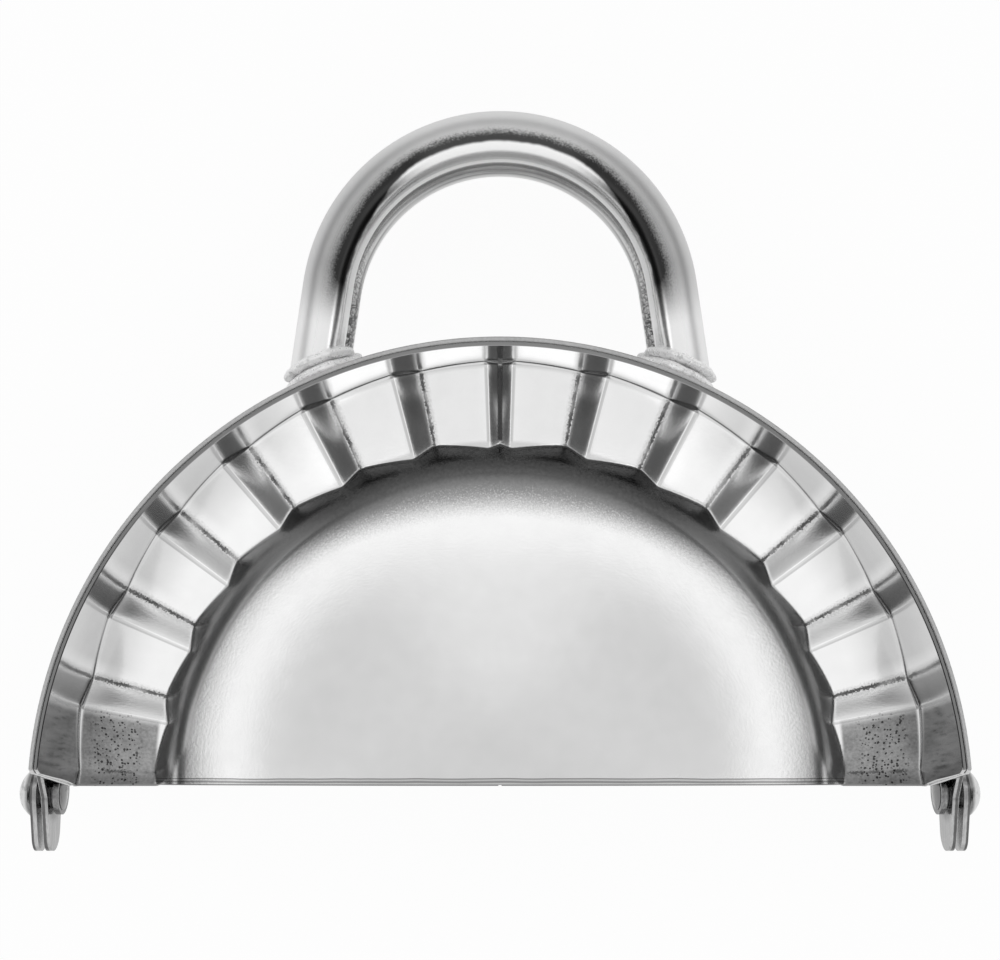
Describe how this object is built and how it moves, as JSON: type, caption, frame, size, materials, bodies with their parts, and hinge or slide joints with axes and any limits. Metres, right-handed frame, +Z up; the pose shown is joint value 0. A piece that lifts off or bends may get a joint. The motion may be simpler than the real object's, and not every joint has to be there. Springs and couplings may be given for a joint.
{
  "type": "ravioli mold",
  "caption": "Hinged half-moon steel ravioli and dumpling mold with pleated crimping band, round cutting rim, deep bowls and tubular arch handles",
  "frame": {"origin": "Closed mold lying flat: middle of the bounding box in X and Y, on the cutting rim of the lower half in Z", "axes": "+X along the hinge, +Y from the hinge towards the handles, +Z up through the upper half"},
  "size_m": [0.129, 0.0984, 0.03],
  "materials": {
    "wall_steel": "polished stainless sheet",
    "pressed_steel": "pressed and tumbled stainless sheet, fine grain",
    "tube_steel": "polished bent tube",
    "weld_steel": "bright brushed",
    "hinge_steel": "bright punched strap",
    "rivet_steel": "polished rivet"
  },
  "bodies": {
    "lower_half": {"burr_washer_left": "rivet_steel", "burr_washer_right": "rivet_steel", "hinge_rivet_left": "rivet_steel", "hinge_rivet_right": "rivet_steel", "inner_bush_left": "rivet_steel", "inner_bush_right": "rivet_steel", "lower_cutter_ring": "wall_steel", "lower_foot_collar_left": "weld_steel", "lower_foot_collar_right": "weld_steel", "lower_foot_saddle_left": "weld_steel", "lower_foot_saddle_right": "weld_steel", "lower_handle_tube": "tube_steel", "lower_hinge_lug_left": "hinge_steel", "lower_hinge_lug_right": "hinge_steel", "lower_pleated_shell": "pressed_steel", "outer_bush_left": "rivet_steel", "outer_bush_right": "rivet_steel"},
    "upper_half": {"upper_cutter_ring": "wall_steel", "upper_foot_collar_left": "weld_steel", "upper_foot_collar_right": "weld_steel", "upper_foot_saddle_left": "weld_steel", "upper_foot_saddle_right": "weld_steel", "upper_handle_tube": "tube_steel", "upper_hinge_lug_left": "hinge_steel", "upper_hinge_lug_right": "hinge_steel", "upper_pleated_shell": "pressed_steel"}
  },
  "joints": [
    {"name": "mold_hinge", "type": "hinge", "parent": "lower_half", "child": "upper_half", "pos_m": [0, -0.04136, 0.015], "axis": [1, 0, 0], "range_deg": [0, 180]}
  ]
}
